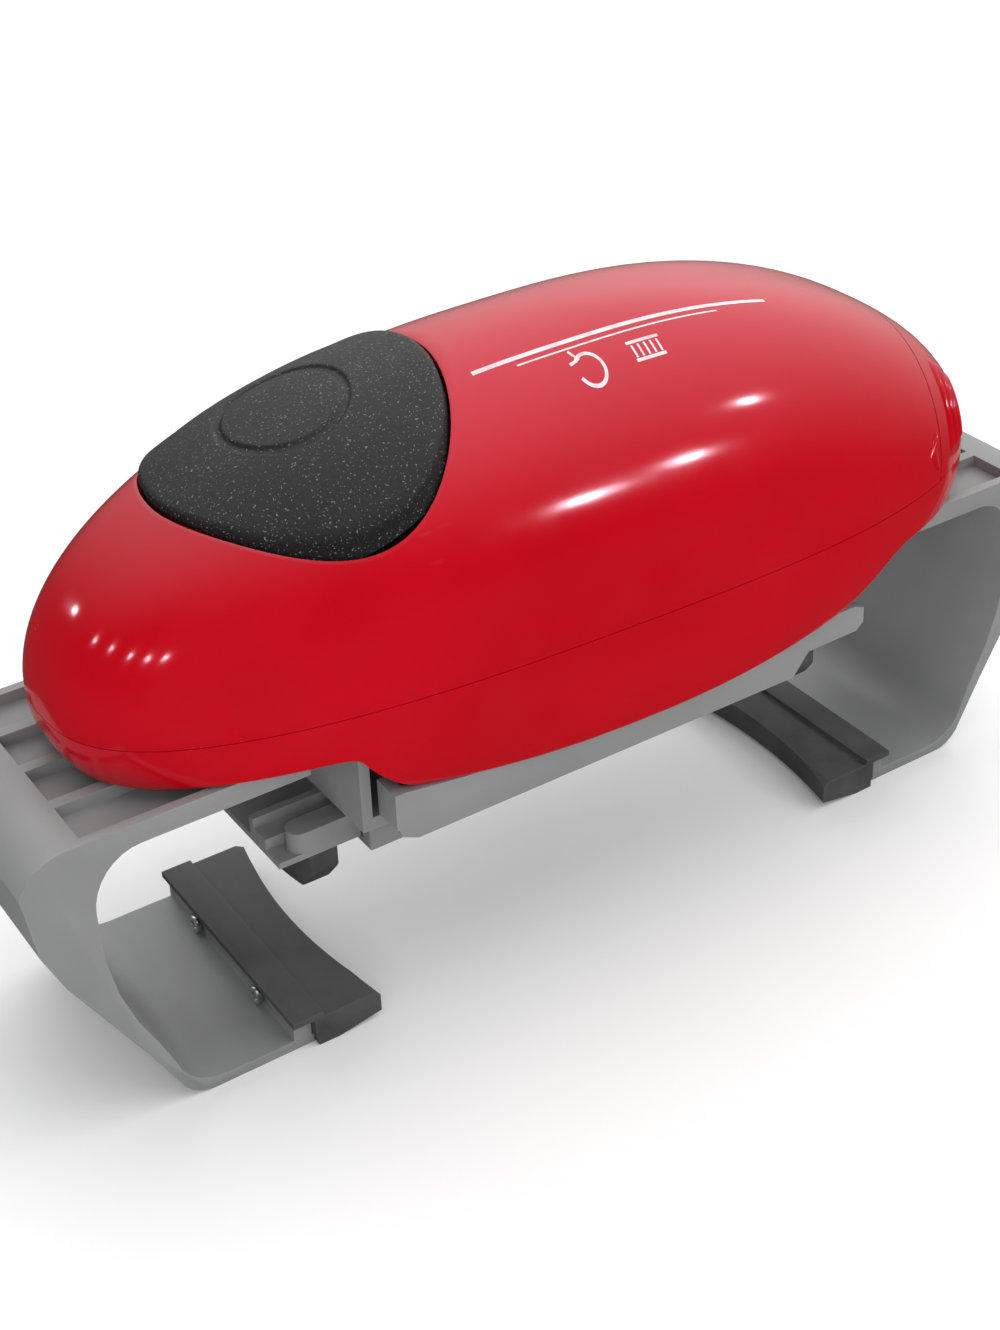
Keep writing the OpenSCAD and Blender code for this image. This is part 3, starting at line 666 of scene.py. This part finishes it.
# %% Ribs and arrow head
def on_side(x, z, front):
    """Point of the dome at a place along the housing and a height, on one side."""
    low, high = 0.0, 40.0
    for _ in range(40):
        middle = (low + high) / 2
        r = float(dome_ratio(np.float64(x), np.float64(middle * front)))
        inside = r ** 2 + ((z - SEAM_Z) / RISE) ** 2 < 1
        low, high = (middle, high) if inside else (low, middle)
    p = np.array([x, low * front, z])
    return p, dome_normal(*p)


def mound_loop(x, z, front, height, half_width):
    """Cross-section of a low mound whose foot is sunk in the skin."""
    loop = []
    for across_rib, rise in ((-1, -0.3), (-1, 0), (-0.55, 0.75), (0, 1), (0.55, 0.75), (1, 0),
                             (1, -0.3)):
        p, n = on_side(x + across_rib * half_width, z, front)
        loop.append(p + n * (rise * height if rise > 0 else rise - 0.02))
    return np.array(loop)


def arrow_loop(z):
    """Cross-section of the arrow head: widest at half its height, narrow at both ends."""
    share = 1 - abs(z - 74.5) / 3.5
    return mound_loop(73.4 - 2.6 * share / 2, z, -1, 0.45, 0.25 + 2.4 * share / 2)


RIB_PLACES_AND_TOPS = ((80.0, 88.0), (82.6, 86.0), (85.2, 83.0))
RIB_FOOT, RIB_RISE, RIB_HALF, RIB_STEPS = 71.5, 0.6, 0.7, 22
for front, side in ((-1, "front"), (1, "rear")):
    for i, (x, top) in enumerate(RIB_PLACES_AND_TOPS):
        steps = np.linspace(RIB_FOOT, top, RIB_STEPS)
        rise = RIB_RISE * np.sqrt(np.clip(1 - np.linspace(-1, 1, RIB_STEPS) ** 8, 0, 1))
        rib = [mound_loop(x, z, front, h, RIB_HALF) for z, h in zip(steps, rise)]
        piece_from_rings(f"door_rib_{side}_{i}", rib, "gloss_red", "door", None,
                         closed=False, capped=True)
arrow = [arrow_loop(z) for z in np.linspace(71.0, 78.0, 15)]
piece_from_rings("arrow_head", arrow, "gloss_red", "housing", None, closed=False, capped=True)

# %% [markdown]
# ## Lower shell
# The lower shell hangs like a skirt round the base. Its lower edge rises into an arch at both
# ends, where the arms slide out, with a steep step on one side and a long slope on the other.
# Each line of the grid runs from the seam down to that edge, so the edge is smooth.

# %% Grid of the lower shell
edge_x = np.array([-120, -60, -56, -54, -52.3, -51, -50, -49, -48, -46.5, -40, -30, -20, -10,
                   0, 10, 20, 30, 40, 45.5, 48.5, 51, 55.5, 59.5, 62, 64.5, 72, 120.0])
ARCH_Z, END_Z, MID_Z = 59.7, 49.3, 45.6
edge_z = np.array([ARCH_Z, ARCH_Z, 59.5, 58.9, 57.4, 55.4, 53.2, 51.2, 50.0, 49.4] + [0] * 9
                  + [49.5, 50.2, 51.3, 54.4, 57.2, 58.5, 59.3, ARCH_Z, ARCH_Z])
for i in range(10, 19):
    edge_z[i] = MID_Z + (END_Z - MID_Z) * ((edge_x[i] + 0.5) / 46) ** 2


def edge_height(x, y):
    """Height of the shell's lower edge: the rear half is the front half turned round."""
    run = np.where(y < 0, x, -x)
    return np.interp(run, edge_x, edge_z)


SKIRT_COLUMNS, DEEPEST = 620, 22.9


def skirt_columns():
    """Outline angles, closer together near the steps of the edge."""
    t = np.linspace(0, 2 * np.pi, 24001)
    x, y = rim(t)
    slope = np.abs(np.gradient(edge_height(x * 0.94, y), t))
    pace = np.hypot(np.gradient(x, t), np.gradient(y, t)) + 1.2 * slope
    length = np.concatenate([[0], np.cumsum((pace[1:] + pace[:-1]) / 2)])
    return np.interp(np.linspace(0, length[-1], SKIRT_COLUMNS, endpoint=False), length, t)


angles = skirt_columns()
low, high = np.zeros_like(angles), np.full_like(angles, DEEPEST)
for _ in range(40):
    middle = (low + high) / 2
    x, y, z = bowl_point(angles, middle)
    above = z > edge_height(x, y)
    low, high = np.where(above, middle, low), np.where(above, high, middle)
edge_depth = low
smooth = np.array([1, 4, 6, 4, 1]) / 16
for _ in range(2):
    edge_depth = sum(k * np.roll(edge_depth, i - 2) for i, k in enumerate(smooth))


# %% Build the lower shell
def skirt_ring(fraction, inset=0.0, raise_by=0.0):
    """Ring at a share of the way from the seam to the edge, moved in by the inset."""
    x, y, z = bowl_point(angles, edge_depth * fraction)
    ring = np.column_stack([x, y, z])
    if inset:
        dx = np.roll(ring, -1, 0) - np.roll(ring, 1, 0)
        side = np.column_stack([dx[:, 1], -dx[:, 0], np.zeros(len(dx))])
        side /= np.linalg.norm(side, axis=1, keepdims=True)
        ring = ring - side * inset
    ring[:, 2] += raise_by
    return ring


SEAM_GAP = 0.14
skirt = [skirt_ring(0, 0, -SEAM_GAP)]
skirt += [skirt_ring(f) for f in np.linspace(0, 0.985, 30)[2:]]
skirt += [skirt_ring(0.997, 0.06), skirt_ring(1.0, 0.35), skirt_ring(1.0, WALL)]
skirt += [skirt_ring(f, WALL) for f in np.linspace(1, 0.05, 12)[1:]]
skirt += [skirt_ring(0, WALL, -SEAM_GAP)]
piece_from_rings("lower_skin", skirt, "gloss_red", "housing", "lower_shell")

# %% [markdown]
# ## Button
# The cap follows the dome, a little proud of it, and rolls over at its rim into a skirt that
# runs down into the housing. A shallow ring groove shows the thumb where to press. The rings
# of the grid are circles about the button's axis.

# %% Button cap
button_turn = np.linspace(0, 2 * np.pi, 180, endpoint=False)
PROUD, GROOVE_R, GROOVE_DEPTH, SKIRT_END = 1.3, 11.0, 0.5, -6.6
ROLL, CAP_WALL, UNDERSIDE = 1.1, 1.6, -1.3
rim_height = (on_dome(BUTTON_R, button_turn, PROUD) - button_origin) @ outward
rim_lift = 0.26 * np.maximum(0, rim_height.mean() - rim_height)


def cap_ring(radius, drop=0.0):
    """Ring of the cap. Near its rim the crown is flatter than the dome, so its wall shows."""
    lift = rim_lift * (radius / BUTTON_R) ** 4 - drop
    return on_dome(radius, button_turn, PROUD) + lift[:, None] * outward


def groove(radius):
    """Depth of the ring groove at a radius."""
    return GROOVE_DEPTH * math.exp(-((radius - GROOVE_R) / 0.75) ** 4)


def button_circle(radius, height):
    """Circle about the button's axis, at a height above its origin."""
    return (button_origin + height * outward
            + np.multiply.outer(radius * np.cos(button_turn), across)
            + np.multiply.outer(radius * np.sin(button_turn), sideways))


print("the button's rim is lifted by up to", round(float(rim_lift.max()), 2), "mm")

# %% Build the button cap
cap = []
for radius in [0.4, *np.arange(1.5, 8.6, 1.4), *np.arange(9.4, 12.7, 0.2),
               *np.arange(13.6, 23.8, 1.1)]:
    cap.append(cap_ring(radius, groove(radius)))
for a in np.linspace(0, math.pi / 2, 9):
    radius = BUTTON_R - ROLL + ROLL * math.sin(a)
    cap.append(cap_ring(min(radius, BUTTON_R), ROLL * (1 - math.cos(a)) * 0.9))
cap += [button_circle(BUTTON_R, SKIRT_END), button_circle(BUTTON_R - CAP_WALL, SKIRT_END)]
for radius in (BUTTON_R - CAP_WALL, 20.0, 12.0, 3.0):
    cap.append(on_dome(radius, button_turn, UNDERSIDE))
cap += [button_circle(radius, height) for radius, height in
        ((3.0, -9.0), (1.5, -9.0), (1.5, -13.2))]
piece_from_rings("button_skin", cap, "dark_grain", "button", "button_cap",
                 closed=False, capped=True)

# %% [markdown]
# ## Springs that shorten
# One spring lifts the button and one pushes the plate onto the lid, so both are pressed
# together when their pieces move. A rigid coil would stick through the moving piece. A curve
# with a bevel would draw the wire too, but a mesh of rings is what the squash works on, so the
# wire is swept along a helix here, round the coil's own axis.

# %% Wind the two working springs
def wind(name, node, body, origin, axis, radius, wire, length, turns):
    """A coil of wire from an origin along an axis, with its sizes in millimetres."""
    axis = np.array(axis) / np.linalg.norm(axis)
    side = np.array([0.0, 1.0, 0.0])
    fore = np.cross(side, axis)
    loops = []
    for a in np.linspace(0, 2 * np.pi * turns, turns * 20 + 1):
        rise = wire + (length - 2 * wire) * a / (2 * np.pi * turns)
        out = fore * math.cos(a) + side * math.sin(a)
        centre = np.array(origin) + axis * rise + out * radius
        loops.append(np.array([centre + wire * (math.cos(b) * out + math.sin(b) * axis)
                               for b in np.linspace(0, 2 * np.pi, 9)[:-1]]))
    return piece_from_rings(name, loops, "spring_steel", body, node, closed=False, capped=True)


WELL_FLOOR = -10.6 + 1.5
button_base = button_origin + WELL_FLOOR * outward
button_wire = wind("button_spring_wire", "button_spring", "housing", button_base, outward,
                   radius=7.0, wire=0.4, length=13.4, turns=5)
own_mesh(button_wire)
plate_wire = wind("press_spring_wire", "press_spring", "rotor", (0, 0, 27.65), (0, 0, 1),
                  radius=5.9, wire=0.4, length=6.2, turns=4)
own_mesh(plate_wire)

# %% [markdown]
# ## Printed mark
# The real housing carries a pad-printed mark on its top, and a plain one stands in for it: a
# long pinstripe, a turning arrow and a small jar lid. A mask in the red finish could draw it,
# but a ribbon keeps its sharp outline in the mesh. Each ribbon lies just over the dome
# and bends with it. It is an open sheet, as thin as ink.

# %% Print ink and ribbons
def ink():
    white = Finish("white_ink")
    worn = white.band(white.noise(500, 4), 0.42, 0.66)
    white.set(Base_Color=white.mix(worn, (0.80, 0.70, 0.72), (0.70, 0.50, 0.53)),
              Roughness=0.3 + worn * 0.15)
    white.bump(white.noise(1500, 2), 0.1, 0.00002)
    return white.material


finishes["ink"] = ink()


PRINT_LIFT = 0.03


def ribbon_faces(path, width, points, faces):
    """Adds a flat band of a given width along a path of plan points, laid on the dome."""
    path = np.array(path, float)
    ahead = np.gradient(path, axis=0)
    ahead /= np.linalg.norm(ahead, axis=1, keepdims=True)
    side = np.column_stack([-ahead[:, 1], ahead[:, 0]]) * width / 2
    first = len(points)
    for p, s in zip(path, side):
        for q in (p - s, p + s):
            z = float(dome_z(q[0], q[1]))
            n = dome_normal(q[0], q[1], z)
            points.append(np.array([q[0], q[1], z]) + n * PRINT_LIFT)
    for i in range(len(path) - 1):
        k = first + 2 * i
        faces.append((k, k + 1, k + 3, k + 2))


def arc(cx, cy, r, start, stop, steps=40):
    return [(cx + r * math.cos(a), cy + r * math.sin(a))
            for a in np.radians(np.linspace(start, stop, steps))]


# %% Lay the ribbons
points, faces = [], []
ribbon_faces([(x, -12.0) for x in np.linspace(-18, 44, 90)], 0.75, points, faces)
ribbon_faces([(x, -13.4) for x in np.linspace(-10, 32, 70)], 0.3, points, faces)
ribbon_faces(arc(2, -17.6, 2.6, 200, 500), 0.6, points, faces)
ribbon_faces([(-0.2, -13.9), (0.8, -15.6), (-1.2, -16.1)], 0.55, points, faces)
for y, half in ((-15.6, 3.4), (-18.6, 3.1)):
    ribbon_faces([(14 + x, y) for x in np.linspace(-half, half, 12)], 0.5, points, faces)
for x in np.linspace(-2.6, 2.6, 5):
    ribbon_faces([(14 + x, y) for y in np.linspace(-16.1, -18.2, 5)], 0.4, points, faces)
print_mesh = bpy.data.meshes.new("print_mark")
print_mesh.from_pydata((np.array(points) * MM).tolist(), [], faces)
printed = bpy.data.objects.new("print_mark", print_mesh)
bpy.context.scene.collection.objects.link(printed)
print_mesh.materials.append(finishes["ink"])
print_mesh.shade_smooth()
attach(printed, "housing")
print("print has", len(faces), "faces")

# %% [markdown]
# ## Floor and light
# A sky that is brightest over the rear right, above a pale floor, gives the housing its light
# top and its deep lower side. A tent of lamps could do the same, but a smooth sky leaves no
# lamp's outline in the gloss. The floor is kept out of the gloss, and the sky is plain white
# where the camera looks straight at it. A wide lamp fills the front. The small streaks and dots
# on the gloss are mirror images of lamps: each stands where its image falls on a chosen spot.

# %% Floor
floor_mesh = bpy.data.meshes.new("floor")
FLOOR_HALF = 6
floor_mesh.from_pydata([(-FLOOR_HALF, -FLOOR_HALF, 0), (FLOOR_HALF, -FLOOR_HALF, 0),
                        (FLOOR_HALF, FLOOR_HALF, 0), (-FLOOR_HALF, FLOOR_HALF, 0)], [],
                       [(0, 1, 2, 3)])
floor = bpy.data.objects.new("floor", floor_mesh)
bpy.context.scene.collection.objects.link(floor)
paper = Finish("floor_paper")
fibre = paper.noise(30, 4)
paper.set(Base_Color=paper.mix(fibre, (0.90, 0.90, 0.90), (0.93, 0.93, 0.93)), Roughness=0.9,
          Specular_IOR_Level=0.1)
floor_mesh.materials.append(paper.material)
floor.visible_glossy = False


# %% Sky
class Sky(Finish):
    """The node tree of the world around the machine."""

    def __init__(self, world):
        world.use_nodes = True
        self.tree = world.node_tree
        self.skin = self.tree.nodes["Background"]


BRIGHTEST = (0.433, 0.25, 0.866)
bpy.context.scene.world = bpy.data.worlds.new("studio")
sky = Sky(bpy.context.scene.world)
direction = sky.node("ShaderNodeTexCoord")
overhead = sky.node("ShaderNodeVectorMath", {"operation": "DOT_PRODUCT"},
                    {0: direction, 1: BRIGHTEST}, out=1)
glow = sky.band(overhead, 0.0, 1.4, 0.06, 2.6)
backdrop = sky.node("ShaderNodeLightPath")
sky.set(Color=(1, 1, 1), Strength=glow * (1 - backdrop) + backdrop)
print("sky has", len(sky.tree.nodes), "nodes")


# %% Lamps
def lamp(name, place, size, power, aim=(0, 0, 0.07), size_y=None):
    """A flat lamp that faces a point, with its place and sizes in metres."""
    data = bpy.data.lights.new(name, "AREA")
    data.energy, data.size = power, size
    if size_y:
        data.shape, data.size_y = "RECTANGLE", size_y
    made = bpy.data.objects.new(name, data)
    bpy.context.scene.collection.objects.link(made)
    made.location = place
    made.rotation_euler = (Vector(aim) - Vector(place)).to_track_quat("-Z", "Y").to_euler()
    return made


def mirror_lamp(name, x, y, size, power, distance=1.4, size_y=None):
    """A lamp whose mirror image falls on the dome at plan point x, y."""
    z = float(dome_z(np.float64(x), np.float64(y)))
    n = Vector(dome_normal(np.float64(x), np.float64(y), np.float64(z)))
    spot = Vector((x, y, z)) * MM
    ray = (camera.location - spot).normalized()
    away = 2 * n.dot(ray) * n - ray
    place = spot + away * distance
    place.z = max(place.z, 0.12)
    return lamp(name, place, size, power, spot, size_y)


# %% Place the lamps
STREAKS = ((-8.4, -30.0, 0.05, 0.7), (13.3, -30.1, 0.045, 0.6), (28.4, -26.9, 0.04, 0.6))
DOTS = ((-87.4, -2.4), (-87.5, -9.7), (-86.2, -12.8), (-84.4, -15.6), (-82.4, -17.6),
        (-80.2, -19.2))
fill = lamp("front_fill", (-0.7, -1.25, 0.65), 1.2, 9)
fill.visible_glossy = False
for i, (x, y, long_side, power) in enumerate(STREAKS):
    mirror_lamp(f"streak_{i}", x, y, long_side * 0.6, power, 1.2, 0.03)
for i, (x, y) in enumerate(DOTS):
    mirror_lamp(f"dot_{i}", x, y, 0.035, 0.35)
bpy.context.scene.view_settings.view_transform = "Standard"
print(len(bpy.data.lights), "lamps")
